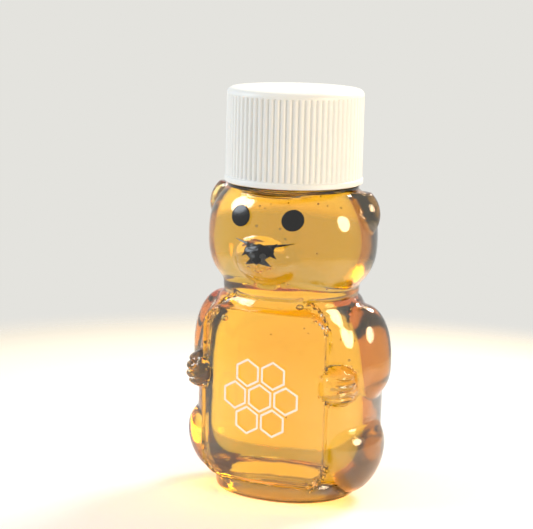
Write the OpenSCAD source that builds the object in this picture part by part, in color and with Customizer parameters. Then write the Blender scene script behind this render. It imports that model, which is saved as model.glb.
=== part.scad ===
// Honey bear bottle: a small blow-moulded bear of clear plastic, full of honey, under a ribbed
// white screw cap. Millimetres, +Z up. The bear faces -Y. The axis of neck and cap is the Z axis,
// and the bottle stands on z = 0.

/* [Bottle] */
// Height of the bear's body, from the table to the foot of the neck
body_h = 61.7; // [58:0.1:66]
// Wall thickness of the blown body
wall = 0.7; // [0.4:0.05:1.2]
// Height of the dome pushed up into the underside
pushup_h = 1.0; // [0.4:0.1:2]
// Width of the flat ring that the bottle stands on
foot_ring_w = 2.2; // [1:0.1:3]
// Rounding of the heel, where the underside turns up into the side
heel_r = 1.1; // [0.5:0.1:2]

/* [Head] */
// Half the width of the head
head_half_w = 17.0; // [15:0.1:18]
// From the axis to the face, without the snout
head_front = 12.8; // [12:0.1:14.5]
// From the axis to the back of the head
head_back = 14.6; // [13:0.1:15.5]
// Widest part of the head, below the foot of the neck
head_drop = 10.7; // [9:0.1:12.5]
// Half the width of the snout
snout_half_w = 6.9; // [5:0.1:8]
// From the axis to the tip of the snout
snout_front = 15.7; // [14.8:0.1:17]
// Middle of the snout, below the foot of the neck
snout_drop = 13.5; // [11.5:0.1:15.5]
// Half the height of the snout
snout_half_h = 5.2; // [4:0.1:6]
// From the axis to the outer edge of an ear
ear_reach = 18.3; // [17.8:0.1:20]
// Radius of the rounded ear, seen from the front
ear_r = 5.5; // [4:0.1:6]
// Thickness of an ear, front to back
ear_t = 6.6; // [3:0.1:8]
// Middle of the ears, below the foot of the neck
ear_drop = 5.1; // [4:0.1:7.5]

/* [Neck groove] */
// Groove between head and body, below the foot of the neck
groove_drop = 19.7; // [18.5:0.1:22]
// Half the width of the bear at the groove
groove_half_w = 13.6; // [12:0.1:15]

/* [Torso] */
// Half the width of the trunk, without the arms
torso_half_w = 18.6; // [16:0.1:19.5]
// From the axis to the front of the trunk, behind the belly panel
torso_front = 12.2; // [11:0.1:13]
// From the axis to the bear's back
torso_back = 15.9; // [14:0.1:17]
// Half the width of the bear across the arms
arm_half_w = 21.0; // [20:0.1:23]
// Half the width of the bear across the legs
leg_half_w = 20.6; // [19.5:0.1:22]
// Half the width of the foot of the bottle
foot_half_w = 14.4; // [12:0.1:16]
// From the axis to the front of the foot
foot_front = 12.5; // [10:0.1:12.8]
// From the axis to the back of the foot
foot_back = 15.0; // [13:0.1:15.6]
// Height of the trunk's widest part, as a share of the groove's height
trunk_share = 0.44; // [0.35:0.01:0.5]
// Height of the middle of the arms, as a share of the groove's height
arm_share = 0.64; // [0.58:0.01:0.68]
// Height of the paws, as a share of the groove's height
paw_share = 0.57; // [0.5:0.01:0.62]
// Height of the thighs, as a share of the groove's height
leg_share = 0.26; // [0.22:0.01:0.3]

/* [Belly panel] */
// Width of the raised panel
panel_w = 28.4; // [22:0.1:30]
// Height of its lower edge
panel_z0 = 3.4; // [2.5:0.1:6]
// Its upper edge, below the groove
panel_drop = 3.5; // [3:0.1:8]
// From the axis to the middle of the panel
panel_front = 13.0; // [12.6:0.1:14]
// Radius of the panel's corners
panel_corner = 5; // [2:0.1:8]
// Radius of the panel's sideways crown
panel_crown_r = 58; // [40:1:200]

/* [Neck finish and thread] */
// Height of the finish, from the shoulder to the rim
finish_h = 16.3; // [14:0.1:17]
// Radius of the bore through the neck
bore_r = 9.3; // [8:0.1:9.8]
// Outer radius of the neck between the threads
root_r = 10.7; // [10.4:0.05:11]
// Height of the thread over the neck
thread_h = 1.2; // [0.8:0.05:1.4]
// Climb of the thread in one turn
pitch = 3.175; // [2.5:0.005:4]
// Turns of thread on the neck
neck_turns = 1.5; // [1:0.25:2]
// Width of a thread's root
thread_w = 1.9; // [1.6:0.05:2]
// Slope of a thread's flanks
flank = 30; // [20:1:35]
// Middle of the neck's thread below the rim, where it ends
thread_start = 1.7; // [1.5:0.1:2.5]
// Thickness of the ring round the foot of the neck
flange_t = 0.7; // [0.5:0.05:1]

/* [Cap] */
// Outer radius of the cap's plain lower band
cap_r = 13.6; // [13.5:0.05:14.5]
// Thickness of the cap's top
cap_top_t = 1.3; // [1:0.1:2]
// Height of the plain lower band
band_h = 1.1; // [0.5:0.1:3]
// Number of grip ribs round the cap
rib_count = 72; // [40:1:90]
// Depth of the grooves between the ribs
rib_depth = 0.34; // [0.1:0.02:0.4]
// Rounding of the cap's upper edge
cap_round = 1.2; // [0.6:0.1:2]
// Turns of thread inside the cap
cap_turns = 1.5; // [1:0.25:2]
// Thickness of the foam liner
liner_t = 1.0; // [0.5:0.1:1.5]

/* [Honey] */
// Height of the honey in the neck, above the foot of the neck
fill_over = 4.5; // [2:0.1:7]

/* [Prints] */
// Width of an eye
eye_w = 4.3; // [2:0.1:5]
// Height of an eye
eye_h = 4.0; // [2:0.1:5]
// Distance between the middles of the eyes
eye_spread = 11.0; // [8:0.1:14]
// Middle of the eyes, below the foot of the neck
eye_drop = 5.6; // [4.7:0.1:7.5]
// Width of the nose
nose_w = 6.2; // [3:0.1:8]
// Height of the nose
nose_h = 3.7; // [2:0.1:5]
// Middle of the nose, below the foot of the neck
nose_drop = 12.1; // [10.7:0.1:12.7]
// Width of the printed lines of the honeycomb
line_w = 0.42; // [0.2:0.02:0.8]
// Size of one printed cell, from its middle to a corner
cell_r = 2.9; // [1:0.1:3.2]
// Thickness of the printed ink
ink_t = 0.15; // [0.05:0.01:0.3]

/* [Clearances] */
// Between threads and walls that pass each other
thread_gap = 0.3; // [0.15:0.05:0.5]
// Between the honey and the inside of the wall
honey_gap = 0.12; // [0.05:0.01:0.4]
// Between the cap's lower edge and the shoulder of the bottle
cap_lift_gap = 0.3; // [0.1:0.05:1]
// Between the ink and the curved plastic behind it
ink_gap = 0.03; // [0.01:0.01:0.1]

/* [Hidden] */

round_fn = 96;

// Rounding of the shoulder's edge, and steps from one wall to the next inside it
shoulder_h = 0.5;
shoulder_step = 0.4;
bore_step = 0.6;
flange_w = 1;
rib_inset = 0.2;

// Where things come to along the axis
flange_z = body_h - flange_t;
skin_top_z = body_h - flange_t / 2;
side_top_z = skin_top_z - shoulder_h;
rim_z = body_h + finish_h;
cap_z = body_h + cap_lift_gap;
cap_top_z = rim_z + liner_t + cap_top_t;
cap_h = cap_top_z - cap_z;
honey_top_z = body_h + fill_over;
groove_z = body_h - groove_drop;
panel_z1 = groove_z - panel_drop;
panel_mid_z = (panel_z0 + panel_z1) / 2;

// Radii round the axis
flange_r = root_r + thread_h + flange_w;
shoulder_r = root_r + shoulder_step;
shoulder_bore_r = bore_r + bore_step;
cap_inner_r = root_r + thread_h + thread_gap;
rib_r = cap_r - rib_inset;

// Rise of the ovals round the axis: [height of the middle, reach down, reach up, fullness]
head_over = 2.5;
head_rise = [body_h - head_drop, 12.2, head_drop + head_over, 2.5];
collar_rise = [body_h, 4, 4, 2];
groove_rise = [groove_z, 2.6, 2.6, 6];
chest_low = 8;
chest_rise = [groove_z - chest_low, chest_low, chest_low - 0.8, 5];
trunk_mid_z = trunk_share * groove_z;
torso_rise = [trunk_mid_z, trunk_mid_z - 1.3, groove_z - trunk_mid_z - 1.2, 3.6];
foot_rise = [0, 12, 4.2, 8];

// Plans of the same ovals: [half width, front, back, squareness]
head_plan = [head_half_w, head_front, head_back, 2.15];
collar_r = shoulder_r + 0.7;
collar_plan = [collar_r, collar_r, collar_r, 2];
groove_plan = [groove_half_w, 11.6, 12.6, 2.1];
chest_plan = [groove_half_w + 1.3, 12.3, 13.5, 2.1];
torso_plan = [torso_half_w, torso_front, torso_back, 2.4];
foot_plan = [foot_half_w, foot_front, foot_back, 2.1];

// Lobes that stand off the axis: the middle at [x, y, z], then
// [half width, half depth, reach down, reach up] and [fullness below, fullness above]
snout_half = [snout_half_w, 6.0, snout_half_h, snout_half_h];
snout_mid = [0, snout_half[1] - snout_front, body_h - snout_drop];
ear_half = [ear_r, ear_t / 2, ear_r, ear_r];
ear_mid = [ear_reach - ear_r, 0.4, body_h - ear_drop];
arm_half = [6.4, 7.0, 7.2, 12.0];
arm_mid = [arm_half_w - arm_half[0], 1.0, arm_share * groove_z];
paw_half = [3.3, 4.2, 3.4, 4.2];
paw_mid = [14.8, -8.3, paw_share * groove_z];
leg_half = [6.4, 8.6, 9.8, 5.8];
leg_mid = [leg_half_w - leg_half[0], -0.8, leg_share * groove_z];
round_full = [2, 2];
limb_full = [2.3, 2.3];
leg_full = [1.8, 2.3];

// Threads: steps in one turn, steps of run-out, how far a root is sunk into its wall, and where
// the neck's thread begins; the cap's begins a part of a turn earlier, half a pitch below it
thread_steps = 24;
run_out = 4;
thread_sink = 0.35;
thread_z0 = rim_z - thread_start - neck_turns * pitch;
cap_early = 0.25;
rim_bevel = 0.5;

// Edge of the belly panel: how far it falls and over what width
panel_fall = 3;
panel_edge = 1.6;

// The nose's corners, and how much lower its ends are than its middle
nose_corner = 0.6;
nose_brow = 0.7;

// Most that a step along the radius is lengthened to keep the wall's thickness on a slope
steepest = 1.6;

// Widths over which neighbouring forms run into one another
soft = 1.2;
firm = 0.7;
crisp = 0.4;

function smooth_step(t) = let(u = min(max(t, 0), 1)) u * u * (3 - 2 * u);

// The greater of two reaches, with the corner between them filled over the width k
function blend(a, b, k) = let(h = max(k - abs(a - b), 0) / k) max(a, b) + h * h * k / 4;

// Share of its full width that a form has at dz from its middle
function swell(dz, down, up, fullness) =
    let(q = abs(dz) / (dz < 0 ? down : up))
    q >= 1 ? 0 : pow(1 - pow(q, fullness), 1 / fullness);

// Reach at angle a and height z of an oval round the axis
function oval(a, z, rise, plan) =
    let(depth = cos(a) > 0 ? plan[1] : plan[2],
        across = pow(abs(sin(a)) / plan[0], plan[3]),
        along = pow(abs(cos(a)) / depth, plan[3]))
    swell(z - rise[0], rise[1], rise[2], rise[3]) * pow(across + along, -1 / plan[3]);

// Reach at angle a and height z of a lobe that stands off the axis
function lobe(a, z, mid, half, fullness) =
    let(s = swell(z - mid[2], half[2], half[3], z < mid[2] ? fullness[0] : fullness[1]))
    s == 0 ? 0 :
    let(hx = half[0] * s, hy = half[1] * s,
        dx = sin(a) / hx, dy = -cos(a) / hy, mx = mid[0] / hx, my = mid[1] / hy,
        qa = dx * dx + dy * dy, qb = dx * mx + dy * my, qc = mx * mx + my * my - 1,
        inside = qb * qb - qa * qc)
    inside < 0 ? 0 : max((qb + sqrt(inside)) / qa, 0);

// Reach of the belly panel's crowned face, falling away outside its rounded outline
function panel(a, z) =
    a > 75 ? 0 :
    let(bow = 2 * panel_front * sin(a) * sin(a) / panel_crown_r,
        r = 2 * panel_front / (cos(a) + sqrt(cos(a) * cos(a) + bow)),
        out_x = max(abs(r * sin(a)) - panel_w / 2 + panel_corner, 0),
        out_z = max(abs(z - panel_mid_z) - (panel_z1 - panel_z0) / 2 + panel_corner, 0),
        out = norm([out_x, out_z]) - panel_corner)
    out > panel_edge ? 0 : r - panel_fall * smooth_step(out / panel_edge + 0.5);

// How far the bear's skin stands from the axis, at an angle from the front and a height
function reach(angle, z) =
    let(a = abs(angle),
        face = blend(oval(a, z, head_rise, head_plan), lobe(a, z, snout_mid, snout_half, round_full), soft),
        eared = blend(face, lobe(a, z, ear_mid, ear_half, round_full), crisp),
        head = blend(eared, oval(a, z, collar_rise, collar_plan), firm),
        trunk = blend(oval(a, z, torso_rise, torso_plan), oval(a, z, chest_rise, chest_plan), soft),
        footed = blend(trunk, oval(a, z, foot_rise, foot_plan), soft),
        panelled = blend(footed, panel(a, z), firm),
        armed = blend(panelled, lobe(a, z, arm_mid, arm_half, limb_full), soft),
        legged = blend(armed, lobe(a, z, leg_mid, leg_half, leg_full), soft),
        body = blend(legged, lobe(a, z, paw_mid, paw_half, limb_full), firm))
    blend(blend(head, oval(a, z, groove_rise, groove_plan), firm), body, firm);

// Evenly spaced values from one stop up to the next, which is left to the spread that follows
function spread(from, to, step) =
    let(n = ceil(abs(to - from) / step)) [for (i = [0:n - 1]) from + (to - from) * i / n];

// Angle at which the panel's crowned face is x to the side
function face_angle(x) = atan2(x, panel_front - x * x / (2 * panel_crown_r));

// The loft's grid. Columns stand closer together at the front, and one stands on each side of the
// panel's edge. Rows do the same along the panel's upper and lower edges.
half_angles = [
    each spread(0, 30, 5),
    each spread(30, face_angle((panel_w - panel_edge) / 2), 6.6),
    each spread(face_angle((panel_w - panel_edge) / 2), face_angle((panel_w + panel_edge) / 2), 10),
    each spread(face_angle((panel_w + panel_edge) / 2), 75, 7.5),
    each spread(75, 110, 7),
    each spread(110, 180, 12)];
angles = concat([-180], [for (i = [len(half_angles) - 1:-1:1]) -half_angles[i]], half_angles);
columns = len(angles);
row_h = 1.65;
heights = [
    each spread(side_top_z, panel_z1 + panel_edge / 2, row_h),
    each spread(panel_z1 + panel_edge / 2, panel_z1 - panel_edge / 2, row_h),
    each spread(panel_z1 - panel_edge / 2, panel_z0 + panel_edge / 2, row_h),
    each spread(panel_z0 + panel_edge / 2, panel_z0 - panel_edge / 2, row_h),
    each spread(panel_z0 - panel_edge / 2, heel_r, row_h),
    heel_r];

function polar(r, a, z) = [r * sin(a), -r * cos(a), z];
function ring(r, z) = [for (a = angles) polar(r, a, z)];

side_reach = [for (z = heights) [for (a = angles) reach(a, z)]];
foot = len(heights) - 1;

// How much longer a step along the radius is than the same step square to the skin
function steepness(i, j) =
    let(r = side_reach[i], before = (j + columns - 1) % columns, after = (j + 1) % columns,
        above = max(i - 1, 0), below = min(i + 1, foot),
        turn = (angles[after] - angles[before] + 360) % 360 * PI / 180,
        round = (r[after] - r[before]) / (turn * r[j]),
        along = (side_reach[below][j] - side_reach[above][j]) / (heights[below] - heights[above]))
    min(norm([1, round, along]), steepest);

// The skin moved inwards by d: a point of its side, and all its rings down the side, round the
// heel and in under the bottle
function side_point(i, j, d) = polar(side_reach[i][j] - d * steepness(i, j), angles[j], heights[i]);
function skin(d) = concat(
    [for (i = [0:foot - 1]) [for (j = [0:columns - 1]) side_point(i, j, d)]],
    [for (t = [0, 30, 60, 90])
        [for (j = [0:columns - 1])
            polar(side_reach[foot][j] - heel_r + (heel_r - d) * cos(t), angles[j], heel_r - (heel_r - d) * sin(t))]],
    [for (s = [1, 0.75, 0.5, 0.25])
        [for (j = [0:columns - 1])
            polar((side_reach[foot][j] - heel_r - foot_ring_w) * s, angles[j], pushup_h * (1 - s * s) + d)]]);

// The band of triangles from ring i to ring k, cut the same way on the bear's left and right
function band_faces(i, k) =
    [for (j = [0:columns - 1])
        let(n = (j + 1) % columns,
            a = i * columns + j, b = i * columns + n, c = k * columns + n, d = k * columns + j)
        each j < columns / 2 ? [[a, b, d], [b, c, d]] : [[a, b, c], [a, c, d]]];

function flipped(faces) = [for (f = faces) [for (k = [len(f) - 1:-1:0]) f[k]]];

// Faces of a stack of rings, without its upper end: bands down the side and the lower end
function stack_faces(first, count) = concat(
    [for (i = [first:first + count - 2]) each band_faces(i, i + 1)],
    [[for (j = [0:columns - 1]) (first + count - 1) * columns + j]]);

module lofted(all_rings) {
    polyhedron(
        points = [for (r = all_rings) each r],
        faces = concat(stack_faces(0, len(all_rings)), [[for (j = [columns - 1:-1:0]) j]]),
        convexity = 10);
}

// The blown shell: outer and inner skin, joined across the shoulder inside the neck's foot
module shell() {
    outer = concat([ring(shoulder_r, skin_top_z)], skin(0));
    inner = concat([ring(shoulder_bore_r, skin_top_z)], skin(wall));
    count = len(outer);
    polyhedron(
        points = [for (r = concat(outer, inner)) each r],
        faces = concat(stack_faces(0, count), flipped(stack_faces(count, count)), band_faces(count, 0)),
        convexity = 10);
}

// A helical ridge: root at r_root, crest at r_crest, its middle climbing from z0 over the turns
module ridge(r_root, r_crest, z0, angle0, turns) {
    outward = r_crest > r_root;
    sunk_r = r_root + (outward ? -thread_sink : thread_sink);
    steps = ceil(turns * thread_steps);
    crest_w = thread_w - 2 * abs(r_crest - r_root) * tan(flank);
    root_w = thread_w + 2 * thread_sink * tan(flank);
    sections = [for (i = [0:steps])
        let(share = min(1, min(i, steps - i) / run_out + 0.05),
            a = angle0 + 360 * turns * i / steps,
            z = z0 + pitch * turns * i / steps,
            r1 = r_root + (r_crest - r_root) * share,
            w1 = root_w + (crest_w - root_w) * share)
        [for (q = [[sunk_r, -root_w / 2], [r1, -w1 / 2], [r1, w1 / 2], [sunk_r, root_w / 2]])
            [q[0] * cos(a), q[0] * sin(a), z + q[1]]]];
    ring_faces = [for (i = [0:steps - 1]) each [for (k = [0:3]) let(m = (k + 1) % 4)
        [4 * i + k, 4 * i + m, 4 * i + 4 + m, 4 * i + 4 + k]]];
    faces = concat(ring_faces, [[3, 2, 1, 0], [for (k = [0:3]) 4 * steps + k]]);
    polyhedron(
        points = [for (s = sections) each s],
        faces = outward ? faces : flipped(faces),
        convexity = 10);
}

module neck() {
    rotate_extrude($fn = round_fn)
        polygon([[bore_r, flange_z], [flange_r, flange_z], [flange_r, body_h], [root_r, body_h],
                 [root_r, rim_z - rim_bevel], [root_r - rim_bevel, rim_z], [bore_r, rim_z]]);
}

module bottle() {
    color([0.93, 0.94, 0.93, 0.45])
    union() {
        shell();
        neck();
        ridge(root_r, root_r + thread_h, thread_z0, 0, neck_turns);
    }
}

module honey() {
    r = bore_r - honey_gap;
    under_shoulder = skin(wall + honey_gap);
    color([0.93, 0.6, 0.05])
        lofted(concat([ring(r, honey_top_z), ring(r, flange_z - wall)],
                      [for (i = [1:len(under_shoulder) - 1]) under_shoulder[i]]));
}

// Outline of the ribbed wall: each rib has a flat crest and a narrow groove beside it
module rib_outline() {
    step = 360 / rib_count;
    polygon([for (i = [0:rib_count - 1]) each
        [for (q = [[-0.3, rib_r], [0.3, rib_r], [0.5, rib_r - rib_depth]])
            [q[1] * cos((i + q[0]) * step), q[1] * sin((i + q[0]) * step)]]]);
}

module cap_outside() {
    intersection() {
        translate([0, 0, cap_z + band_h])
            linear_extrude(cap_h - band_h) rib_outline();
        rotate_extrude($fn = round_fn)
            polygon(concat([[0, cap_z], [cap_r, cap_z]],
                [for (t = [0:15:90]) [cap_r - cap_round + cap_round * cos(t),
                                      cap_top_z - cap_round + cap_round * sin(t)]],
                [[0, cap_top_z]]));
    }
    translate([0, 0, cap_z])
        cylinder(h = band_h, r = cap_r, $fn = round_fn);
}

module cap() {
    color([0.96, 0.96, 0.94])
    union() {
        difference() {
            cap_outside();
            translate([0, 0, cap_z - 1])
                cylinder(h = cap_h - cap_top_t + 1, r = cap_inner_r, $fn = round_fn);
        }
        ridge(cap_inner_r, root_r + thread_gap, thread_z0 - (0.5 + cap_early) * pitch,
              -360 * cap_early, cap_turns);
    }
}

module cap_liner() {
    color([0.85, 0.87, 0.88])
        translate([0, 0, rim_z])
            cylinder(h = liner_t, r = cap_inner_r - thread_gap, $fn = round_fn);
}

// Columns of the skin's front that cover x0 to x1, and rows of its side that cover z0 to z1
function front_columns(x0, x1) =
    [for (j = [1:columns - 2])
        if (abs(angles[j]) < 60
            && polar(head_front, angles[j + 1], 0)[0] > x0 && polar(head_front, angles[j - 1], 0)[0] < x1) j];
function side_rows(z0, z1) = [for (i = [1:foot - 1]) if (heights[i + 1] < z1 && heights[i - 1] > z0) i];

// A film of ink that lies along the skin's own facets, over some of its rows and columns
module ink_film(rows, cols) {
    n = len(cols);
    m = len(rows);
    layers = [for (d = [ink_gap, ink_gap + ink_t]) each [for (i = rows) each [for (j = cols) side_point(i, j, -d)]]];
    function cell(i, j) = [i * n + j, i * n + j + 1, (i + 1) * n + j + 1, (i + 1) * n + j];
    function cut(q, j) =
        cols[j] < columns / 2 ? [[q[0], q[1], q[3]], [q[1], q[2], q[3]]] : [[q[0], q[1], q[2]], [q[0], q[2], q[3]]];
    under = [for (i = [0:m - 2]) each [for (j = [0:n - 2]) each cut(cell(i, j), j)]];
    lift = n * m;
    edge = concat([for (j = [0:n - 2]) j], [for (i = [0:m - 2]) i * n + n - 1],
                  [for (j = [n - 1:-1:1]) (m - 1) * n + j], [for (i = [m - 1:-1:1]) i * n]);
    polyhedron(
        points = layers,
        faces = concat(flipped(under), [for (f = under) [for (v = f) v + lift]],
            [for (k = [0:len(edge) - 1]) let(a = edge[k], b = edge[(k + 1) % len(edge)])
                each [[a, b, b + lift], [a, b + lift, a + lift]]]),
        convexity = 6);
}

// The film cut to an outline that is drawn in x and z
module printed(rows, cols) {
    intersection() {
        ink_film(rows, cols);
        rotate([90, 0, 0])
            linear_extrude(2 * snout_front)
                children();
    }
}

module eye(side) {
    x = side * eye_spread / 2;
    z = body_h - eye_drop;
    color([0.06, 0.06, 0.07])
        printed(side_rows(z - eye_h / 2, z + eye_h / 2), front_columns(x - eye_w / 2, x + eye_w / 2))
            translate([x, z])
                scale([eye_w / eye_h, 1])
                    circle(d = eye_h, $fn = 32);
}

// The bear's own left is at +X
module left_eye() { eye(1); }
module right_eye() { eye(-1); }

// A low triangle with rounded corners, point down
module nose() {
    z = body_h - nose_drop;
    w = nose_w / 2 - nose_corner;
    h = nose_h / 2 - nose_corner;
    color([0.06, 0.06, 0.07])
        printed(side_rows(z - nose_h / 2, z + nose_h / 2), front_columns(-nose_w / 2, nose_w / 2))
            translate([0, z])
                offset(r = nose_corner, $fn = 24)
                    polygon([[w, h - nose_brow], [0, h], [-w, h - nose_brow], [0, -h]]);
}

// A generic honeycomb of seven cells; the panel is straight from top to bottom, so two rows do
module belly_print() {
    step = 2 * cell_r * cos(30) + line_w;
    half = 1.5 * step;
    rows = side_rows(panel_mid_z - half, panel_mid_z + half);
    color([0.98, 0.98, 0.95])
        printed([rows[0], rows[len(rows) - 1]], front_columns(-half, half))
            for (row = [-1:1])
                for (i = [0:2 - abs(row)])
                    translate([(i - (2 - abs(row)) / 2) * step, panel_mid_z + row * step * cos(30)])
                        rotate(30) difference() {
                            circle(r = cell_r, $fn = 6);
                            circle(r = cell_r - line_w / cos(30), $fn = 6);
                        }
}

bottle();
honey();
cap();
cap_liner();
left_eye();
right_eye();
nose();
belly_print();
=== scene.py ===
# %% [markdown]
# A small clear bottle in the shape of a sitting bear, full of honey, under a white screw cap.
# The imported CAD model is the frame: it fixes every size and every place, and this file dresses it
# for the photograph. It works in metres with Z up, and the bear faces -Y, as in the CAD model.
# Sizes are written in millimetres, as the bottle's drawing gives them, and MM turns them to metres.

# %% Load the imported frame
import math

import bmesh
import bpy
import numpy as np
from mathutils import Matrix, Vector


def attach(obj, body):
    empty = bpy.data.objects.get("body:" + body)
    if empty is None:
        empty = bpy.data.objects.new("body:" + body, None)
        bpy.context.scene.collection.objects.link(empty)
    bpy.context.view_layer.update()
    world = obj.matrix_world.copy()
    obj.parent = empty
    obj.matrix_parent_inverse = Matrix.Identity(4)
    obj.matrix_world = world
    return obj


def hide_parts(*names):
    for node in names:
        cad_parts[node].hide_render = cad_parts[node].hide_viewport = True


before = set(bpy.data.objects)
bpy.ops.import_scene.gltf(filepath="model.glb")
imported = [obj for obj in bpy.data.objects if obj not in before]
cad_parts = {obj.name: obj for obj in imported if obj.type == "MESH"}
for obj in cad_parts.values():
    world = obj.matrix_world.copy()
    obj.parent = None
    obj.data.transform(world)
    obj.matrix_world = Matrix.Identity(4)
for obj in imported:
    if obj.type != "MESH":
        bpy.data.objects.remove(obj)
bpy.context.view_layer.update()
MM = 0.001

# %% [markdown]
# The camera stands where the photographer's stood. Its place was found by laying the cap's edges
# and the standing ring over the photograph: 25 degrees towards the bear's left, 350 mm from its
# axis, 109 mm above the table, and turned by a little over one degree. The lens is long, about
# 121 mm on a 36 mm sensor, so the bottle hardly narrows with distance.

# %% Camera
azimuth, roll = math.radians(25), math.radians(1.32)
sideways = Vector((math.cos(azimuth), math.sin(azimuth), 0))
eye_point = Vector((350 * math.sin(azimuth), -350 * math.cos(azimuth), 109.3)) * MM
target = (-4.93 * sideways + Vector((0, 0, 45.19))) * MM
forward = (target - eye_point).normalized()
right = forward.cross(Vector((0, 0, 1))).normalized()
up = right.cross(forward)
turned_right = right * math.cos(roll) + up * math.sin(roll)
turned_up = up * math.cos(roll) - right * math.sin(roll)
PHOTO_W, PHOTO_H, FOCAL = 533, 529, 1798.3

camera_data = bpy.data.cameras.new("camera")
camera_data.sensor_width = 36
camera_data.lens = camera_data.sensor_width * FOCAL / PHOTO_W
camera_data.clip_start = 0.01
camera = bpy.data.objects.new("camera", camera_data)
bpy.context.scene.collection.objects.link(camera)
axes = Matrix((turned_right, turned_up, -forward)).transposed()
camera.matrix_world = Matrix.Translation(eye_point) @ axes.to_4x4()
bpy.context.scene.camera = camera
bpy.context.scene.view_settings.view_transform = "Standard"
print("lens", round(camera_data.lens, 1), "mm")

# %% [markdown]
# A node material is a small graph. One function adds a node with its settings and links, so that
# each material below reads like its recipe. Colours are written as the hex values a paint program
# shows, and one function turns them to the linear values that light adds up in.

# %% Helpers for materials
def linear(hex_colour):
    channels = [int(hex_colour[i : i + 2], 16) / 255 for i in (0, 2, 4)]
    return (*[c / 12.92 if c <= 0.04045 else ((c + 0.055) / 1.055) ** 2.4 for c in channels], 1)


def add_node(tree, kind, settings=None, **inputs):
    made = tree.nodes.new(kind)
    for name, value in (settings or {}).items():
        setattr(made, name, value)
    for name, value in inputs.items():
        socket = made.inputs[int(name[1:])] if name[0] == "_" else made.inputs[name.replace("_", " ")]
        if isinstance(value, bpy.types.NodeSocket):
            tree.links.new(value, socket)
        else:
            socket.default_value = value
    return made


def new_material(name):
    material = bpy.data.materials.new(name)
    material.use_nodes = True
    material.node_tree.nodes.clear()
    return material, material.node_tree


# %% [markdown]
# The bottle is PET, polyethylene terephthalate, blown into a polished mould. It is as clear as
# glass and bends light a little more, with an index of 1.575. Blowing leaves the wall slightly
# wavy, over some 5 mm, which is what makes the reflections on such a bottle wander. Lamps have to
# reach the honey inside, so rays on their way to a lamp pass straight through the wall.

# %% Clear PET
def clear_pet():
    material, tree = new_material("clear_blown_pet")
    place = add_node(tree, "ShaderNodeTexCoord").outputs["Object"]
    wave = add_node(tree, "ShaderNodeTexNoise", Vector=place, Scale=1 / (5 * MM), Detail=1.0)
    bump = add_node(tree, "ShaderNodeBump", Height=wave.outputs["Fac"], Strength=0.25, Distance=0.25 * MM)
    glass = add_node(tree, "ShaderNodeBsdfPrincipled", Base_Color=linear("FDFDFB"), Roughness=0.02,
                     IOR=1.575, Transmission_Weight=1.0, Normal=bump.outputs["Normal"])
    way_to_lamp = add_node(tree, "ShaderNodeLightPath").outputs["Is Shadow Ray"]
    thin = add_node(tree, "ShaderNodeBsdfTransparent", Color=linear("F8F7F2"))
    both = add_node(tree, "ShaderNodeMixShader", _0=way_to_lamp, _1=glass.outputs[0], _2=thin.outputs[0])
    add_node(tree, "ShaderNodeOutputMaterial", Surface=both.outputs[0])
    return material


pet = clear_pet()

# %% [markdown]
# Honey is a clear syrup with an index of 1.49. It has no colour of its own on its surface: it takes
# blue and some green out of the light on the way through, so its colour deepens with the length of
# the way, from straw at the thin rims to red-brown where light crosses the whole bear. That is a
# Volume Absorption node, in shares taken per metre. Real honey is a little cloudy, which a small
# roughness stands for.

# %% Honey
def honey_syrup():
    material, tree = new_material("clear_amber_honey")
    syrup = add_node(tree, "ShaderNodeBsdfPrincipled", Base_Color=linear("FFF0C8"), Roughness=0.06,
                     IOR=1.49, Transmission_Weight=1.0)
    way_to_lamp = add_node(tree, "ShaderNodeLightPath").outputs["Is Shadow Ray"]
    tinted = add_node(tree, "ShaderNodeBsdfTransparent", Color=linear("F4D08A"))
    both = add_node(tree, "ShaderNodeMixShader", _0=way_to_lamp, _1=syrup.outputs[0], _2=tinted.outputs[0])
    taken = add_node(tree, "ShaderNodeVolumeAbsorption", Color=(0.97, 0.86, 0.0, 1), Density=180.0)
    add_node(tree, "ShaderNodeOutputMaterial", Surface=both.outputs[0], Volume=taken.outputs[0])
    return material


honey = honey_syrup()

# %% [markdown]
# The cap is white polypropylene from an injection mould. It has a satin skin, and light goes a
# millimetre or so into it, which softens the shade between its ribs. The mould's fine grain is
# drawn at 0.3 mm, coarser than the real one, so that it shows at all.

# %% White polypropylene
def white_polypropylene():
    material, tree = new_material("white_moulded_polypropylene")
    place = add_node(tree, "ShaderNodeTexCoord").outputs["Object"]
    grain = add_node(tree, "ShaderNodeTexNoise", Vector=place, Scale=1 / (0.3 * MM), Detail=2.0)
    bump = add_node(tree, "ShaderNodeBump", Height=grain.outputs["Fac"], Strength=0.15, Distance=0.02 * MM)
    cloud = add_node(tree, "ShaderNodeTexNoise", Vector=place, Scale=1 / (6 * MM), Detail=2.0)
    shine = add_node(tree, "ShaderNodeMapRange", Value=cloud.outputs["Fac"], To_Min=0.34, To_Max=0.44)
    plastic = add_node(tree, "ShaderNodeBsdfPrincipled", Base_Color=linear("F3F2EC"), IOR=1.49,
                       Roughness=shine.outputs["Result"], Subsurface_Weight=0.25,
                       Subsurface_Radius=(1.0, 0.9, 0.75), Subsurface_Scale=1.2 * MM,
                       Normal=bump.outputs["Normal"])
    add_node(tree, "ShaderNodeOutputMaterial", Surface=plastic.outputs[0])
    return material


polypropylene = white_polypropylene()

# %% [markdown]
# Inside the cap lies a liner, a disc punched from white polyethylene foam. Its cut cells are a
# third of a millimetre across and catch the light as a fine pebbled skin.

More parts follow.
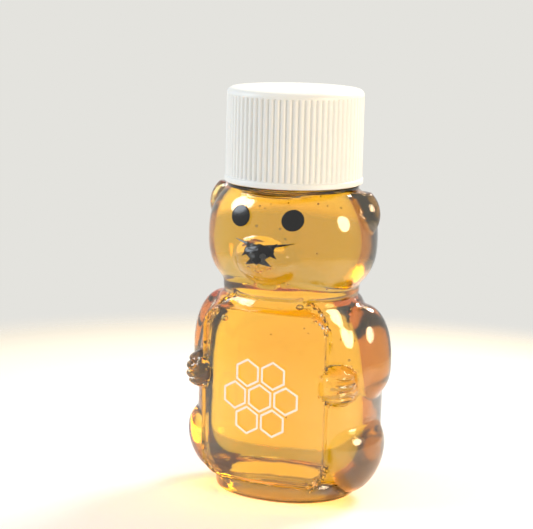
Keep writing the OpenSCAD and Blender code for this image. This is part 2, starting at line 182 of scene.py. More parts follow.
# %% Foam liner
def foam_liner():
    material, tree = new_material("white_polyethylene_foam")
    place = add_node(tree, "ShaderNodeTexCoord").outputs["Object"]
    cells = add_node(tree, "ShaderNodeTexVoronoi", Vector=place, Scale=1 / (0.35 * MM))
    bump = add_node(tree, "ShaderNodeBump", Height=cells.outputs["Distance"], Strength=0.5, Distance=0.05 * MM)
    foam = add_node(tree, "ShaderNodeBsdfPrincipled", Base_Color=linear("E9EBEA"), Roughness=0.7,
                    Normal=bump.outputs["Normal"])
    add_node(tree, "ShaderNodeOutputMaterial", Surface=foam.outputs[0])
    return material


foam = foam_liner()

# %% [markdown]
# Eyes, nose and belly print are pad-printed with two-part ink, which dries as a thin raised film.
# The black has a full gloss and the white a satin one. A film is never quite even, so its shine
# changes a little over half a millimetre.

# %% Printing inks
def printing_ink(name, hex_colour, roughness):
    material, tree = new_material(name)
    place = add_node(tree, "ShaderNodeTexCoord").outputs["Object"]
    film = add_node(tree, "ShaderNodeTexNoise", Vector=place, Scale=1 / (0.5 * MM), Detail=1.0)
    shine = add_node(tree, "ShaderNodeMapRange", Value=film.outputs["Fac"], To_Min=roughness - 0.04,
                     To_Max=roughness + 0.06)
    bump = add_node(tree, "ShaderNodeBump", Height=film.outputs["Fac"], Strength=0.3, Distance=0.03 * MM)
    ink = add_node(tree, "ShaderNodeBsdfPrincipled", Base_Color=linear(hex_colour), IOR=1.5,
                   Roughness=shine.outputs["Result"], Normal=bump.outputs["Normal"])
    add_node(tree, "ShaderNodeOutputMaterial", Surface=ink.outputs[0])
    return material


black_ink = printing_ink("gloss_black_pad_ink", "131214", 0.16)
white_ink = printing_ink("satin_white_pad_ink", "FBF6EC", 0.4)

# %% [markdown]
# An air bubble in honey is a lens of less, not of more: light goes from the honey, index 1.49, into
# air, index 1. Seen from the honey that is an index of 1 / 1.49. The specks are crumbs of wax,
# brown and dull.

# %% Bubbles and wax
def bubble_air():
    material, tree = new_material("air_in_honey")
    air = add_node(tree, "ShaderNodeBsdfGlass", Color=linear("FFFFFF"), Roughness=0.0, IOR=1 / 1.49)
    add_node(tree, "ShaderNodeOutputMaterial", Surface=air.outputs[0])
    return material


def wax_crumb():
    material, tree = new_material("brown_wax_crumb")
    place = add_node(tree, "ShaderNodeTexCoord").outputs["Object"]
    lump = add_node(tree, "ShaderNodeTexNoise", Vector=place, Scale=1 / (0.2 * MM))
    shade = add_node(tree, "ShaderNodeMix", {"data_type": "RGBA"}, Factor=lump.outputs["Fac"],
                     _6=linear("4A1E08"), _7=linear("8A4A16"))
    wax = add_node(tree, "ShaderNodeBsdfPrincipled", Base_Color=shade.outputs[2], Roughness=0.6)
    add_node(tree, "ShaderNodeOutputMaterial", Surface=wax.outputs[0])
    return material


air, wax = bubble_air(), wax_crumb()
print("materials:", len(bpy.data.materials))

# %% [markdown]
# The bear's skin is one formula, the same as in the CAD model: how far the skin stands from the
# axis at an angle from the front and at a height. Ovals round the axis make head, trunk and foot,
# and lobes off the axis make snout, ears, arms, paws and thighs. Where two forms meet, the corner
# between them is filled over a set width. Here it runs on whole arrays, in millimetres.

# %% The forms and how they run together
BODY_H, WALL = 61.7, 0.7
GROOVE_Z = BODY_H - 19.7
TRUNK_Z = 0.44 * GROOVE_Z
SOFT, FIRM, CRISP = 1.2, 0.7, 0.4


def smooth_step(t):
    u = np.clip(t, 0, 1)
    return u * u * (3 - 2 * u)


def run_together(a, b, width):
    h = np.maximum(width - abs(a - b), 0) / width
    return np.maximum(a, b) + h * h * width / 4


def swell(dz, down, up, fullness):
    q = np.minimum(abs(dz) / np.where(dz < 0, down, up), 1)
    return (1 - q**fullness) ** (1 / fullness)


def oval(a, z, rise, plan):
    depth = np.where(np.cos(a) > 0, plan[1], plan[2])
    across = (abs(np.sin(a)) / plan[0]) ** plan[3]
    along = (abs(np.cos(a)) / depth) ** plan[3]
    return swell(z - rise[0], rise[1], rise[2], rise[3]) * (across + along) ** (-1 / plan[3])


def lobe(a, z, mid, half, low_full, high_full):
    dz = z - mid[2]
    s = np.where(dz < 0, swell(dz, half[2], half[3], low_full), swell(dz, half[2], half[3], high_full))
    hx, hy = half[0] * np.maximum(s, 1e-6), half[1] * np.maximum(s, 1e-6)
    dx, dy, mx, my = np.sin(a) / hx, -np.cos(a) / hy, mid[0] / hx, mid[1] / hy
    qa, qb, qc = dx * dx + dy * dy, dx * mx + dy * my, mx * mx + my * my - 1
    inside = qb * qb - qa * qc
    return np.where(inside < 0, 0, np.maximum((qb + np.sqrt(np.maximum(inside, 0))) / qa, 0))


# %% [markdown]
# The belly panel is a raised, slightly crowned face with rounded corners. Its edge drops 3 mm over
# a width of 1.6 mm.

# %% The belly panel
PANEL_W, PANEL_Z0, PANEL_Z1, PANEL_FRONT = 28.4, 3.4, GROOVE_Z - 3.5, 13.0
PANEL_CORNER, PANEL_CROWN, PANEL_EDGE, PANEL_FALL = 5, 58, 1.6, 3
PANEL_MID = (PANEL_Z0 + PANEL_Z1) / 2


def belly_panel(a, z):
    bow = 2 * PANEL_FRONT * np.sin(a) ** 2 / PANEL_CROWN
    ahead = np.maximum(np.cos(a), 0.1)
    r = 2 * PANEL_FRONT / (ahead + np.sqrt(ahead**2 + bow))
    out_x = np.maximum(abs(r * np.sin(a)) - PANEL_W / 2 + PANEL_CORNER, 0)
    out_z = np.maximum(abs(z - PANEL_MID) - (PANEL_Z1 - PANEL_Z0) / 2 + PANEL_CORNER, 0)
    out = np.hypot(out_x, out_z) - PANEL_CORNER
    shown = (out < PANEL_EDGE) & (a < math.radians(75))
    return np.where(shown, r - PANEL_FALL * smooth_step(out / PANEL_EDGE + 0.5), 0)


# %% [markdown]
# Two things are too fine for the CAD model and are cut here. Each paw has grooves between its
# fingers, 1.7 mm apart, and the snout has a mouth: a shallow line that rises to both sides, with a
# short line up to the nose.

# %% Fingers and mouth
def finger_grooves(a, z):
    at_paw = np.exp(-((np.degrees(a) - 59) / 8.5) ** 4)
    cut = sum(np.exp(-((z - middle) / 0.36) ** 2) for middle in (22.5, 24.2, 25.9, 27.6))
    return 0.5 * at_paw * cut


def mouth_line(a, z, r):
    x = abs(r * np.sin(a))
    smile = np.exp(-((z - 46.3 - 0.42 * x) / 0.3) ** 2) * smooth_step((3.6 - x) / 0.8)
    seam = np.exp(-(x / 0.25) ** 2) * smooth_step((z - 46.2) / 0.4) * smooth_step((48.0 - z) / 0.4)
    chin = np.exp(-((z - 44.9 + 0.22 * x * x) / 0.3) ** 2) * smooth_step((2.0 - x) / 0.6)
    front = np.cos(a) > 0.8
    return np.where(front, 0.3 * np.maximum(smile, seam) + 0.16 * chin, 0)


# %% [markdown]
# Each form is one line of the bottle's drawing. An oval has its middle height, how far it goes down
# and up and how full it is, then its half width, its depth in front and behind and how square it is.
# A lobe has its middle, its half sizes to the side, in depth, down and up, and its fullness below
# and above.

# %% The bear's forms
SKULL = ((BODY_H - 10.7, 12.2, 13.2, 2.5), (17.0, 12.8, 14.6, 2.15))
COLLAR = ((BODY_H, 4, 4, 2), (11.8, 11.8, 11.8, 2))
THROAT = ((GROOVE_Z, 2.6, 2.6, 6), (13.6, 11.6, 12.6, 2.1))
CHEST = ((GROOVE_Z - 8, 8, 7.2, 5), (14.9, 12.3, 13.5, 2.1))
TORSO = ((TRUNK_Z, TRUNK_Z - 1.3, GROOVE_Z - TRUNK_Z - 1.2, 3.6), (18.6, 12.2, 15.9, 2.4))
FOOT = ((0, 12, 4.2, 8), (14.4, 12.5, 15.0, 2.1))
SNOUT = ((0, 6.0 - 15.7, BODY_H - 13.5), (6.9, 6.0, 5.2, 5.2), 2, 2)
EAR = ((18.3 - 5.5, 0.4, BODY_H - 5.1), (5.5, 3.3, 5.5, 5.5), 2, 2)
ARM = ((14.6, 1.0, 0.64 * GROOVE_Z), (6.4, 7.0, 7.2, 12.0), 2.3, 2.3)
THIGH = ((14.2, -0.8, 0.26 * GROOVE_Z), (6.4, 8.6, 9.8, 5.8), 1.8, 2.3)
PAW = ((14.8, -8.3, 0.57 * GROOVE_Z), (3.3, 4.2, 3.4, 4.2), 2.3, 2.3)


# %% The whole skin
def reach(angle, z):
    a = abs(angle)
    head = run_together(oval(a, z, *SKULL), lobe(a, z, *SNOUT), SOFT)
    head = run_together(head, lobe(a, z, *EAR), CRISP)
    head = run_together(head, oval(a, z, *COLLAR), FIRM)
    body = run_together(oval(a, z, *TORSO), oval(a, z, *CHEST), SOFT)
    body = run_together(body, oval(a, z, *FOOT), SOFT)
    body = run_together(body, belly_panel(a, z), FIRM)
    body = run_together(body, lobe(a, z, *ARM), SOFT)
    body = run_together(body, lobe(a, z, *THIGH), SOFT)
    body = run_together(body, lobe(a, z, *PAW), FIRM)
    r = run_together(run_together(head, oval(a, z, *THROAT), FIRM), body, FIRM)
    return r - finger_grooves(a, z) - mouth_line(a, z, r)


# %% [markdown]
# The bottle is blown from a tube, and so is the mesh: a flat sheet of squares is rolled up, and
# every row of it is sent to one ring of the bottle. The rows run from the middle of the underside
# up the outside, over the neck and its thread, round the rim and down the inside again. The
# columns stand closer together at the front, where the face and the panel are.

# %% Rows down the side, square to the skin
COLUMNS = 200
turn = np.linspace(-math.pi, math.pi, COLUMNS, endpoint=False)
column_angle = turn - math.radians(28) * np.sin(turn)
HEEL_R, PUSHUP_H, FOOT_RING = 1.1, 1.0, 2.2
FLANGE_Z, SIDE_TOP, BORE_R, ROOT_R = BODY_H - 0.7, BODY_H - 0.85, 9.3, 10.7
RIM_Z = BODY_H + 16.3
STEEPEST = 1.6


def side_rings(rows, inset):
    z = np.linspace(HEEL_R, SIDE_TOP, rows)
    height, angle = np.meshgrid(z, column_angle, indexing="ij")
    r = reach(angle, height)
    round_slope = (reach(angle + 0.02, height) - reach(angle - 0.02, height)) / (0.04 * r)
    up_slope = (reach(angle, height + 0.25) - reach(angle, height - 0.25)) / 0.5
    lean = np.minimum(np.sqrt(1 + round_slope**2 + up_slope**2), STEEPEST)
    return r - inset * lean, height


def under_rings(inset):
    foot = reach(column_angle, np.full(COLUMNS, HEEL_R))
    flat = foot - HEEL_R - FOOT_RING
    rings = [(flat * s, PUSHUP_H * (1 - s * s) + inset) for s in (0, 0.2, 0.4, 0.6, 0.8, 0.93, 1)]
    for t in np.radians([90, 75, 60, 45, 30, 15]):
        rings.append((foot - HEEL_R + (HEEL_R - inset) * math.cos(t), HEEL_R - (HEEL_R - inset) * math.sin(t)))
    return [(np.broadcast_to(r, COLUMNS), np.full(COLUMNS, z)) for r, z in rings]


def even_rings(pairs):
    return [(np.full(COLUMNS, float(r)), np.full(COLUMNS, float(z))) for r, z in pairs]


# %% [markdown]
# The neck's thread is a low ridge that climbs 3.175 mm a turn for one and a half turns, with sloped
# flanks and a run-out at both ends, so the cap finds its way on.

# %% Rings of the neck with its thread
PITCH, TURNS, THREAD_H, THREAD_W = 3.175, 1.5, 1.2, 1.9
THREAD_Z0 = RIM_Z - 1.7 - TURNS * PITCH


def thread_height(z, z_start, width):
    ridge = np.zeros(COLUMNS)
    round_the_neck = (np.degrees(column_angle) - 90) % 360
    for lap in range(3):
        gone = round_the_neck / 360 + lap
        off = abs(z - z_start - PITCH * gone)
        slope = THREAD_H * np.tan(math.radians(30))
        rise = np.clip((width / 2 - off) / slope, 0, 1)
        ends = smooth_step(gone / 0.12) * smooth_step((TURNS - gone) / 0.12)
        ridge = np.maximum(ridge, rise * ends * (gone < TURNS))
    return ridge * THREAD_H


def neck_rings(rows):
    heights = np.linspace(BODY_H, RIM_Z - 0.5, rows)
    return [(ROOT_R + thread_height(z, THREAD_Z0, THREAD_W), np.full(COLUMNS, z)) for z in heights]


# %% Rolling a sheet into a piece
def roll_sheet(name, rings):
    bpy.ops.object.select_all(action="DESELECT")
    bpy.ops.mesh.primitive_grid_add(x_subdivisions=COLUMNS, y_subdivisions=len(rings) - 1, size=2)
    piece = bpy.context.object
    piece.name = name
    flat = np.zeros(len(piece.data.vertices) * 3)
    piece.data.vertices.foreach_get("co", flat)
    flat = flat.reshape(-1, 3)
    column = np.rint((flat[:, 0] + 1) / 2 * COLUMNS).astype(int) % COLUMNS
    row = np.rint((flat[:, 1] + 1) / 2 * (len(rings) - 1)).astype(int)
    r = np.array([ring[0] for ring in rings])[row, column]
    z = np.array([ring[1] for ring in rings])[row, column]
    angle = column_angle[column]
    placed = np.column_stack((r * np.sin(angle), -r * np.cos(angle), z)) * MM
    piece.data.vertices.foreach_set("co", placed.ravel())
    bpy.ops.object.mode_set(mode="EDIT")
    bpy.ops.mesh.select_all(action="SELECT")
    bpy.ops.mesh.remove_doubles(threshold=1e-7)
    bpy.ops.mesh.normals_make_consistent(inside=False)
    bpy.ops.object.mode_set(mode="OBJECT")
    return piece


def dress(piece, material, body, slot, *nodes):
    piece.data.materials.clear()
    piece.data.materials.append(material)
    bpy.ops.object.select_all(action="DESELECT")
    piece.select_set(True)
    bpy.context.view_layer.objects.active = piece
    bpy.ops.object.transform_apply(location=True, rotation=True, scale=True)
    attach(piece, body)
    if nodes:
        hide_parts(*nodes)
    faces = len(piece.data.polygons)
    print(piece.name, faces, "faces, mm:", [round(v / MM, 1) for v in piece.dimensions])
    return piece


# %% [markdown]
# The bottle's sheet: underside, side, flange, neck, rim, bore, and the same inside with the wall's
# thickness taken off.

# %% The blown bottle
outer_r, outer_z = side_rings(188, 0)
inner_r, inner_z = side_rings(96, WALL)
bottle_rings = under_rings(0) + list(zip(outer_r, outer_z))[1:]
FLANGE_R, FLANGE_EDGE, RIM_EDGE = 12.9, 0.12, 0.15
bottle_rings += even_rings([
    (11.4, FLANGE_Z - 0.05), (FLANGE_R - 0.15, FLANGE_Z), (FLANGE_R, FLANGE_Z + FLANGE_EDGE),
    (FLANGE_R, BODY_H - FLANGE_EDGE), (FLANGE_R - 0.15, BODY_H), (11.0, BODY_H)])
bottle_rings += neck_rings(58)
bottle_rings += even_rings([
    (ROOT_R - RIM_EDGE, RIM_Z - RIM_EDGE), (ROOT_R - 0.5, RIM_Z), (BORE_R + 0.2, RIM_Z),
    (BORE_R, RIM_Z - RIM_EDGE), (BORE_R, RIM_Z - 8), (BORE_R, FLANGE_Z + 0.2), (BORE_R + 0.3, FLANGE_Z)])
bottle_rings += list(zip(inner_r, inner_z))[::-1]
bottle_rings += under_rings(WALL)[:-1][::-1]
bottle = roll_sheet("bear_bottle", bottle_rings)
bpy.ops.object.shade_smooth_by_angle(angle=math.radians(38))
dress(bottle, pet, "filled_bottle", "clear_pet", "bottle")

# %% [markdown]
# The honey fills the inside. Where a liquid wets a wall there is no air between them, so its skin
# is sunk 0.05 mm into the wall: with a gap there, every edge would mirror like an empty bottle. It
# stands 4.5 mm up the neck, with a small meniscus against the bore.

# %% The honey
SUNK, FILL_Z = 0.05, BODY_H + 4.5
honey_r, honey_z = side_rings(150, WALL - SUNK)
honey_rings = under_rings(WALL - SUNK) + list(zip(honey_r, honey_z))[1:]
honey_rings += even_rings([
    (BORE_R + SUNK, FLANGE_Z), (BORE_R + SUNK, 64), (BORE_R + SUNK, FILL_Z + 0.4), (9.15, FILL_Z + 0.25),
    (8.7, FILL_Z + 0.05), (7.5, FILL_Z), (4, FILL_Z), (0, FILL_Z)])
fill = roll_sheet("honey_fill", honey_rings)
bpy.ops.object.shade_smooth_by_angle(angle=math.radians(38))
dress(fill, honey, "filled_bottle", "honey", "honey")

# %% [markdown]
# The cap is turned up from one circle: it is extruded and resized step by step along its section,
# up the plain band, the ribbed wall and the rounded edge to the middle of the top, and then from
# the same circle up the inside. Points of the wall that lie between two ribs are then drawn in.

# %% Extruding a circle along a section
def select_where(mesh, wanted):
    mesh.select_mode = {"VERT"}
    for v in mesh.verts:
        v.select = wanted(v.co)
    mesh.select_flush_mode()


def extrude_along(section):
    last_r, last_z = section[0][0], section[0][1]
    for r, z in section[1:]:
        bpy.ops.mesh.extrude_edges_move(TRANSFORM_OT_translate={"value": (0, 0, (z - last_z) * MM)})
        share = r / last_r
        bpy.ops.transform.resize(value=(share, share, 1), center_override=(0, 0, z * MM))
        last_r, last_z = r, z


CAP_R, RIB_R, CAP_Z, CAP_TOP, CAP_BORE, RIBS, PER_RIB = 13.6, 13.4, 62.0, 80.3, 12.2, 72, 8
bpy.ops.object.select_all(action="DESELECT")
bpy.ops.mesh.primitive_circle_add(
    vertices=RIBS * PER_RIB, radius=(CAP_R - 0.15) * MM, location=(0, 0, CAP_Z * MM))
cap = bpy.context.object
cap.name = "ribbed_cap"
bpy.ops.object.transform_apply(location=True)
bpy.ops.object.mode_set(mode="EDIT")
bpy.ops.mesh.select_all(action="SELECT")
outside = [(CAP_R - 0.15, CAP_Z), (CAP_R, CAP_Z + 0.15), (CAP_R, CAP_Z + 0.9), (CAP_R - 0.07, CAP_Z + 1.03),
           (RIB_R, CAP_Z + 1.1), (RIB_R, CAP_Z + 1.16), (RIB_R, CAP_Z + 1.45), (RIB_R, 66), (RIB_R, 70),
           (RIB_R, 74), (RIB_R, 78.1), (RIB_R, 78.75), (RIB_R, 78.95), (RIB_R, CAP_TOP - 1.25)]
outside += [(RIB_R - 1.2 + 1.2 * math.cos(t), CAP_TOP - 1.2 + 1.2 * math.sin(t))
            for t in np.radians([10, 20, 30, 40, 50, 60, 70, 80, 90])]
outside += [(11, CAP_TOP), (7, CAP_TOP - 0.03), (3, CAP_TOP - 0.04), (0.02, CAP_TOP - 0.04)]
extrude_along(outside)
mesh = bmesh.from_edit_mesh(cap.data)
select_where(mesh, lambda p: abs(p.z - CAP_Z * MM) < 1e-6)
bmesh.update_edit_mesh(cap.data)
inside = [(CAP_R - 0.15, CAP_Z), (CAP_BORE + 0.25, CAP_Z), (CAP_BORE, CAP_Z + 0.3), (CAP_BORE, 66), (CAP_BORE, 72),
          (CAP_BORE, 78.6), (CAP_BORE - 0.3, 79.0), (8, 79.0), (4, 79.0), (0.02, 79.0)]
extrude_along(inside)
bpy.ops.mesh.select_all(action="SELECT")
bpy.ops.mesh.remove_doubles(threshold=5e-7)
print("cap:", len(mesh.verts), "points")

# %% [markdown]
# Ribs: each has a flat crest and a narrow round groove beside it. All the points at one place of
# the 72 ribs are drawn in together, by one resize about the cap's axis. The grooves run out just
# under the rounded edge and just above the plain band. The middles of top and ceiling are closed.

# %% Drawing in the grooves
groove_depth = {2: 0.03, 3: 0.2, 4: 0.34, 5: 0.2, 6: 0.03}


def draw_in(z_low, z_high, strength):
    for place, depth in groove_depth.items():
        mesh = bmesh.from_edit_mesh(cap.data)

        def in_groove(p, place=place):
            if not (z_low * MM < p.z < z_high * MM) or math.hypot(p.x, p.y) < (CAP_BORE + 0.5) * MM:
                return False
            step = math.atan2(p.y, p.x) / (2 * math.pi) * RIBS * PER_RIB
            return round(step) % PER_RIB == place

        select_where(mesh, in_groove)
        bmesh.update_edit_mesh(cap.data)
        share = 1 - strength * depth / RIB_R
        bpy.ops.transform.resize(value=(share, share, 1), center_override=(0, 0, 0))


draw_in(CAP_Z + 1.3, 78.8, 1)
draw_in(78.9, 79.0, 0.6)
mesh = bmesh.from_edit_mesh(cap.data)
select_where(mesh, lambda p: math.hypot(p.x, p.y) < 0.05 * MM and p.z > 79.5 * MM)
bmesh.update_edit_mesh(cap.data)
bpy.ops.mesh.merge(type="CENTER")
mesh = bmesh.from_edit_mesh(cap.data)
select_where(mesh, lambda p: math.hypot(p.x, p.y) < 0.05 * MM and p.z < 79.5 * MM)
bmesh.update_edit_mesh(cap.data)
bpy.ops.mesh.merge(type="CENTER")
bpy.ops.mesh.select_all(action="SELECT")
bpy.ops.mesh.normals_make_consistent(inside=False)
bpy.ops.object.mode_set(mode="OBJECT")
bpy.ops.object.shade_smooth_by_angle(angle=math.radians(40))

# %% [markdown]
# The thread inside the cap hangs half a pitch below the bottle's, so the two pass each other. It is
# swept by the Screw modifier from its small section and joined to the wall.

# %% The cap's thread
def cap_thread():
    crest, root, low = ROOT_R + 0.3, CAP_BORE + 0.2, THREAD_Z0 - 0.75 * PITCH
    bpy.ops.object.select_all(action="DESELECT")
    bpy.ops.mesh.primitive_plane_add(size=1)
    thread = bpy.context.object
    half_root, half_crest = THREAD_W / 2 + 0.1, THREAD_W / 2 - 0.69
    corners = [(root, -half_root), (crest, -half_crest), (crest, half_crest), (root, half_root)]
    for i, (r, dz) in zip([0, 1, 3, 2], corners):
        thread.data.vertices[i].co = (0, -r * MM, (low + dz) * MM)
    screw = thread.modifiers.new("screw", "SCREW")
    screw.axis, screw.angle, screw.screw_offset = "Z", 2 * math.pi * TURNS, PITCH * TURNS * MM
    screw.steps = screw.render_steps = 96
    screw.use_merge_vertices = False
    bpy.ops.object.modifier_apply(modifier="screw")
    bpy.ops.object.mode_set(mode="EDIT")
    bpy.ops.mesh.select_all(action="SELECT")
    bpy.ops.mesh.remove_doubles(threshold=1e-7)
    bpy.ops.mesh.normals_make_consistent(inside=False)
    bpy.ops.object.mode_set(mode="OBJECT")
    return thread


thread = cap_thread()
bpy.ops.object.select_all(action="DESELECT")
thread.select_set(True)
cap.select_set(True)
bpy.context.view_layer.objects.active = cap
bpy.ops.object.join()
dress(cap, polypropylene, "screw_cap", "white_polypropylene", "cap")

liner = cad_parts["cap_liner"]
liner.data.materials.clear()
liner.data.materials.append(foam)

# %% [markdown]
# A print is cut flat from its outline, given rings of points so that it can bend, pressed onto the
# skin, and thickened by Solidify. Pressing needs the angle at which the skin stands a given
# distance to the side, which a few rounds of correction find.

# %% Pressing a flat shape onto the skin
INK_GAP, INK_T = 0.03, 0.13


def on_skin(x, z, lift):
    angle = np.arcsin(np.clip(x / 16, -1, 1))
    for _ in range(12):
        angle = angle - 0.7 * (angle - np.arcsin(np.clip(x / reach(angle, z), -1, 1)))

    def point(a, height):
        r = reach(a, height)
        return np.column_stack((r * np.sin(a), -r * np.cos(a), height))

    east = point(angle + 0.01, z) - point(angle - 0.01, z)
    north = point(angle, z + 0.1) - point(angle, z - 0.1)
    outward = np.cross(east, north)
    return point(angle, z) + lift * outward / np.linalg.norm(outward, axis=1, keepdims=True)


def press_on(piece):
    flat = np.array([tuple(v.co) for v in piece.data.vertices]) / MM
    placed = on_skin(flat[:, 0], flat[:, 2], INK_GAP) * MM
    piece.data.vertices.foreach_set("co", placed.ravel())
    bpy.ops.object.mode_set(mode="EDIT")
    bpy.ops.mesh.select_all(action="SELECT")
    bpy.ops.mesh.normals_make_consistent(inside=False)
    bpy.ops.object.mode_set(mode="OBJECT")
    if sum(p.normal.y * p.area for p in piece.data.polygons) > 0:
        piece.data.flip_normals()
    film = piece.modifiers.new("film", "SOLIDIFY")
    film.thickness, film.offset = INK_T * MM, 1
    edge = piece.modifiers.new("edge", "BEVEL")
    edge.width, edge.segments, edge.limit_method = 0.05 * MM, 2, "ANGLE"
    bpy.ops.object.modifier_apply(modifier="film")
    bpy.ops.object.modifier_apply(modifier="edge")
    bpy.ops.object.shade_smooth_by_angle(angle=math.radians(60))


def flat_shape(name, points, rings, ring_step):
    bpy.ops.object.select_all(action="DESELECT")
    bpy.ops.mesh.primitive_circle_add(vertices=len(points), fill_type="NGON")
    piece = bpy.context.object
    piece.name = name
    for v, (x, z) in zip(piece.data.vertices, points):
        v.co = (x * MM, 0, z * MM)
    bpy.ops.object.mode_set(mode="EDIT")
    bpy.ops.mesh.select_all(action="SELECT")
    for _ in range(rings):
        bpy.ops.mesh.inset(thickness=ring_step * MM, depth=0)
    bpy.ops.mesh.poke()
    bpy.ops.object.mode_set(mode="OBJECT")
    return piece


# %% Eyes
EYE_W, EYE_H, EYE_SPREAD, EYE_Z = 4.3, 4.0, 11.0, BODY_H - 5.6
round_eye = [(EYE_W / 2 * math.cos(t), EYE_H / 2 * math.sin(t))
             for t in np.linspace(0, 2 * math.pi, 48, endpoint=False)]
for name, side in (("left_eye", 1), ("right_eye", -1)):
    points = [(side * EYE_SPREAD / 2 + x, EYE_Z + z) for x, z in round_eye]
    eye = flat_shape(name + "_ink", points, 4, 0.42)
    press_on(eye)
    dress(eye, black_ink, "filled_bottle", "black_ink", name)

# %% [markdown]
# The nose is a low triangle, point down, with rounded corners. Its outline is cut like the CAD
# model's and each corner becomes a short arc.

# %% Nose
def rounded(corners, radius, steps):
    points = []
    for k, corner in enumerate(corners):
        before, after = corners[k - 1], corners[(k + 1) % len(corners)]
        start = math.atan2(corner[1] - before[1], corner[0] - before[0]) - math.pi / 2
        bend = (math.atan2(after[1] - corner[1], after[0] - corner[0]) - math.pi / 2 - start) % (2 * math.pi)
        for i in range(steps + 1):
            t = start + bend * i / steps
            points.append((corner[0] + radius * math.cos(t), corner[1] + radius * math.sin(t)))
    return points


NOSE_Z, NOSE_W, NOSE_H = BODY_H - 12.1, 2.5, 1.25
NOSE_SIDE_Z = NOSE_Z + NOSE_H - 0.7
nose_corners = [(NOSE_W, NOSE_SIDE_Z), (0, NOSE_Z + NOSE_H), (-NOSE_W, NOSE_SIDE_Z), (0, NOSE_Z - NOSE_H)]
nose = flat_shape("nose_ink", rounded(nose_corners, 0.6, 5), 3, 0.36)
press_on(nose)
dress(nose, black_ink, "filled_bottle", "black_ink", "nose")

# %% [markdown]
# The belly print is a plain honeycomb of seven cells. A cell is a hexagon whose middle is inset and
# taken out, and whose edges are cut into short lengths so that the line follows the crown.

# %% Honeycomb print
CELL_R, LINE_W = 2.9, 0.42


def cell_line(x, z):
    bpy.ops.object.select_all(action="DESELECT")
    bpy.ops.mesh.primitive_circle_add(vertices=6, fill_type="NGON")
    cell = bpy.context.object
    for i, v in enumerate(cell.data.vertices):
        t = math.radians(60 * i + 30)
        v.co = ((x + CELL_R * math.cos(t)) * MM, 0, (z + CELL_R * math.sin(t)) * MM)
    bpy.ops.object.mode_set(mode="EDIT")
    bpy.ops.mesh.select_all(action="SELECT")
    bpy.ops.mesh.inset(thickness=LINE_W * MM, depth=0)
    bpy.ops.mesh.delete(type="FACE")
    bpy.ops.mesh.select_all(action="SELECT")
    bpy.ops.mesh.subdivide(number_cuts=4)
    bpy.ops.object.mode_set(mode="OBJECT")
    return cell


step = 2 * CELL_R * math.cos(math.radians(30)) + LINE_W
cells = [cell_line((i - (2 - abs(row)) / 2) * step, PANEL_MID + row * step * math.cos(math.radians(30)))
         for row in (-1, 0, 1) for i in range(3 - abs(row))]
bpy.ops.object.select_all(action="DESELECT")
for cell in cells:
    cell.select_set(True)
bpy.context.view_layer.objects.active = cells[0]
bpy.ops.object.join()
honeycomb = bpy.context.object
honeycomb.name = "honeycomb_ink"
press_on(honeycomb)
dress(honeycomb, white_ink, "filled_bottle", "white_ink", "belly_print")

# %% [markdown]
# Honey keeps small air bubbles for months, most of them close under the wall, and a few crumbs of
# wax. Each is placed where the photograph shows it: a ray from the camera through that pixel meets
# the skin, and the bubble sits a little way behind that point.

# %% Bubbles and crumbs
def under_pixel(x, y, depth):
    way = (forward * FOCAL + turned_right * (x - PHOTO_W / 2) - turned_up * (y - PHOTO_H / 2)).normalized()
    gone = np.arange(280, 400, 0.1)
    points = np.array(eye_point)[None] / MM + gone[:, None] * np.array(way)[None]
    r, angle = np.hypot(points[:, 0], points[:, 1]), np.arctan2(points[:, 0], -points[:, 1])
    within = (points[:, 2] > 2) & (points[:, 2] < 60) & (r < reach(angle, np.clip(points[:, 2], 1.2, 60.8)))
    first = np.argmax(within)
    return points[first] + depth * np.array(way)


def little_balls(name, places, segments):
    balls = []
    for x, y, size in places:
        bpy.ops.object.select_all(action="DESELECT")
        place = under_pixel(x, y, WALL * 1.4 + size / 2 + 0.15)
        bpy.ops.mesh.primitive_uv_sphere_add(segments=segments, ring_count=segments // 2, radius=size / 2 * MM,
                                             location=tuple(place * MM))
        bpy.context.object.scale = (1, 1, 0.88)
        bpy.ops.object.transform_apply(location=True, rotation=True, scale=True)
        balls.append(bpy.context.object)
    bpy.ops.object.select_all(action="DESELECT")
    for ball in balls:
        ball.select_set(True)
    bpy.context.view_layer.objects.active = balls[0]
    bpy.ops.object.join()
    joined = bpy.context.object
    joined.name = name
    bpy.ops.object.shade_smooth()
    return joined


bubble_places = [(227, 317, 1.5), (300, 309, 1.6), (308, 306, 0.4), (261, 207, 0.5), (266, 209, 0.35),
                 (258, 226, 0.6), (286, 239, 0.5), (279, 247, 0.4), (340, 209, 0.4), (296, 211, 0.4),
                 (348, 360, 0.5), (354, 331, 0.35), (354, 341, 0.35), (347, 369, 0.3), (305, 328, 0.4),
                 (309, 333, 0.35), (260, 299, 0.6), (307, 311, 0.45), (281, 229, 0.5), (272, 205, 0.3),
                 (310, 199, 0.35), (365, 322, 0.3), (272, 334, 0.35)]
bubbles = little_balls("air_bubbles", bubble_places, 20)
dress(bubbles, air, "filled_bottle", "honey")
crumb_places = [(326, 288, 0.45), (278, 198, 0.35), (289, 204, 0.3), (318, 205, 0.4), (327, 207, 0.3),
                (317, 253, 0.35), (287, 417, 0.35), (340, 340, 0.3), (353, 429, 0.3), (320, 199, 0.25)]
crumbs = little_balls("wax_crumbs", crumb_places, 10)
dress(crumbs, wax, "filled_bottle", "honey")

# %% [markdown]
# The table is a pale matt top whose far edge is soft, as in the photograph: the colour fades into
# the backdrop between 125 and 175 mm from the bottle. Behind it the world is the pale wall. Rays
# that come from the camera, from a reflection or through glass see that wall, and all others get
# the soft light of the room.

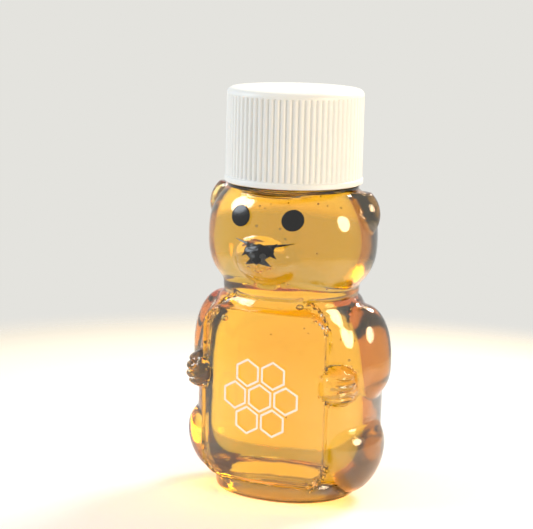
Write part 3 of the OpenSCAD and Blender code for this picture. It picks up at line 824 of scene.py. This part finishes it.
# %% Table and backdrop
def pale_table():
    material, tree = new_material("matt_white_table")
    place = add_node(tree, "ShaderNodeTexCoord").outputs["Object"]
    away = add_node(tree, "ShaderNodeVectorMath", {"operation": "LENGTH"}, _0=place).outputs["Value"]
    fleck = add_node(tree, "ShaderNodeTexNoise", Vector=place, Scale=1 / (25 * MM), Detail=3.0)
    shade = add_node(tree, "ShaderNodeMix", {"data_type": "RGBA"}, Factor=fleck.outputs["Fac"],
                     _6=linear("F1F0EF"), _7=linear("F5F4F3"))
    # Painted warm light: from 90 to 150 mm out, the table's colour turns to a warm beige, which paints warmer light
    # onto its far part.
    far_warm_light = add_node(tree, "ShaderNodeMapRange", Value=away, From_Min=0.09, From_Max=0.15)
    tint = add_node(tree, "ShaderNodeMix", {"data_type": "RGBA"}, Factor=far_warm_light.outputs["Result"],
                    _6=shade.outputs[2], _7=linear("EBDFC8"))
    matt = add_node(tree, "ShaderNodeBsdfPrincipled", Base_Color=tint.outputs[2], Roughness=0.55)
    gone = add_node(tree, "ShaderNodeMapRange", {"interpolation_type": "SMOOTHSTEP"}, Value=away,
                    From_Min=0.125, From_Max=0.175)
    clear = add_node(tree, "ShaderNodeBsdfTransparent")
    both = add_node(tree, "ShaderNodeMixShader", _0=gone.outputs["Result"], _1=matt.outputs[0], _2=clear.outputs[0])
    add_node(tree, "ShaderNodeOutputMaterial", Surface=both.outputs[0])
    return material


bpy.ops.object.select_all(action="DESELECT")
bpy.ops.mesh.primitive_circle_add(vertices=96, radius=0.18, fill_type="NGON", location=(0, 0, -0.05 * MM))
table = bpy.context.object
table.name = "table_top"
bpy.ops.object.transform_apply(location=True)
table.data.materials.append(pale_table())

world = bpy.data.worlds.new("pale_room")
bpy.context.scene.world = world
world.use_nodes = True
tree = world.node_tree
tree.nodes.clear()
ray = add_node(tree, "ShaderNodeLightPath")
seen = add_node(tree, "ShaderNodeMath", {"operation": "MAXIMUM"}, _0=ray.outputs["Is Camera Ray"],
                _1=ray.outputs["Is Glossy Ray"])
seen = add_node(tree, "ShaderNodeMath", {"operation": "MAXIMUM"}, _0=seen.outputs[0],
                _1=ray.outputs["Is Transmission Ray"])
wall = add_node(tree, "ShaderNodeBackground", Color=linear("E4E3DE"), Strength=1.0)
room = add_node(tree, "ShaderNodeBackground", Color=linear("F2F4F6"), Strength=0.55)
mixed = add_node(tree, "ShaderNodeMixShader", _0=seen.outputs[0], _1=room.outputs[0], _2=wall.outputs[0])
add_node(tree, "ShaderNodeOutputWorld", Surface=mixed.outputs[0])

# %% [markdown]
# The key lamp stands behind the bottle to its right, high up: the honey is lit from behind and
# glows, and a soft shadow falls to the front. A large cool lamp on the camera's left and a warm one
# on its right give the cap its two tones.

# %% Lamps
def soft_lamp(name, place, size, power, hex_colour, aim=(0, 0, 35)):
    data = bpy.data.lights.new(name, "AREA")
    data.shape, data.size = "DISK", size * MM
    data.energy, data.color = power, linear(hex_colour)[:3]
    lamp = bpy.data.objects.new(name, data)
    bpy.context.scene.collection.objects.link(lamp)
    lamp.location = Vector(place) * MM
    way = (Vector(aim) - Vector(place)).normalized()
    lamp.rotation_euler = way.to_track_quat("-Z", "Y").to_euler()
    return lamp


soft_lamp("key_behind", (90, 300, 320), 130, 1.6, "FFF6E8")
soft_lamp("cool_left", (-330, -160, 260), 220, 0.9, "EAF4FF")
soft_lamp("warm_right", (330, -60, 160), 160, 0.7, "FFE6C0")
